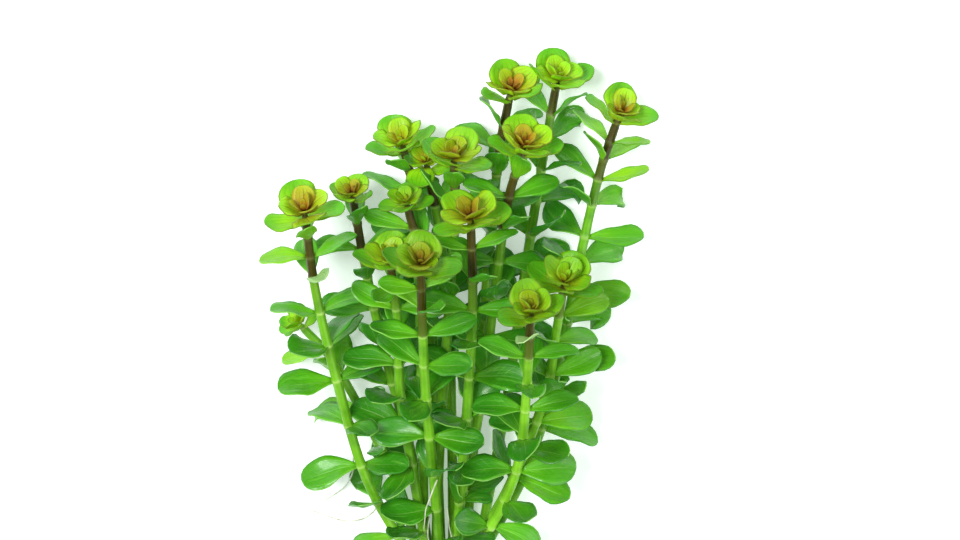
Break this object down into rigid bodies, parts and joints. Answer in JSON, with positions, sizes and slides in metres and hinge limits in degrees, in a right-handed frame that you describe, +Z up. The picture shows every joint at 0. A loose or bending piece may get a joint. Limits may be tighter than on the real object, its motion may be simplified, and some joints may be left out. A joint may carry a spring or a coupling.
{
  "type": "bunch of aquarium plant stems",
  "caption": "Cut bunch of slender stems with crossed pairs of small oval leaves and leafy rosettes at the tips, lying on its side.",
  "frame": {"origin": "on the surface that the bunch lies on, under the middle of its box", "axes": "+Y from the cut ends to the crowns, +Z up from the surface, which was toward the viewer in the picture, +X to the right as seen from above with the crowns up"},
  "size_m": [0.0862, 0.1344, 0.0436],
  "materials": {
    "leaf": "satin",
    "stem": "satin",
    "crown": "satin",
    "root": "satin"
  },
  "bodies": {
    "root": {"shoot_01": "leaf", "shoot_02": "leaf", "shoot_03": "leaf", "shoot_04": "leaf", "shoot_05": "leaf", "shoot_06": "leaf", "shoot_07": "leaf", "shoot_08": "leaf", "shoot_09": "leaf", "shoot_10": "leaf", "shoot_11": "leaf", "shoot_12": "leaf", "shoot_13": "leaf", "shoot_14": "leaf", "shoot_15": "leaf", "shoot_16": "leaf", "crown_01": "crown", "crown_02": "crown", "crown_03": "crown", "crown_04": "crown", "crown_05": "crown", "crown_06": "crown", "crown_07": "crown", "crown_08": "crown", "crown_09": "crown", "crown_10": "crown", "crown_11": "crown", "crown_12": "crown", "crown_13": "crown", "crown_14": "crown", "crown_15": "crown", "crown_16": "crown", "root_1": "root", "root_2": "root", "root_3": "root", "root_4": "root", "root_5": "root"}
  },
  "joints": []
}
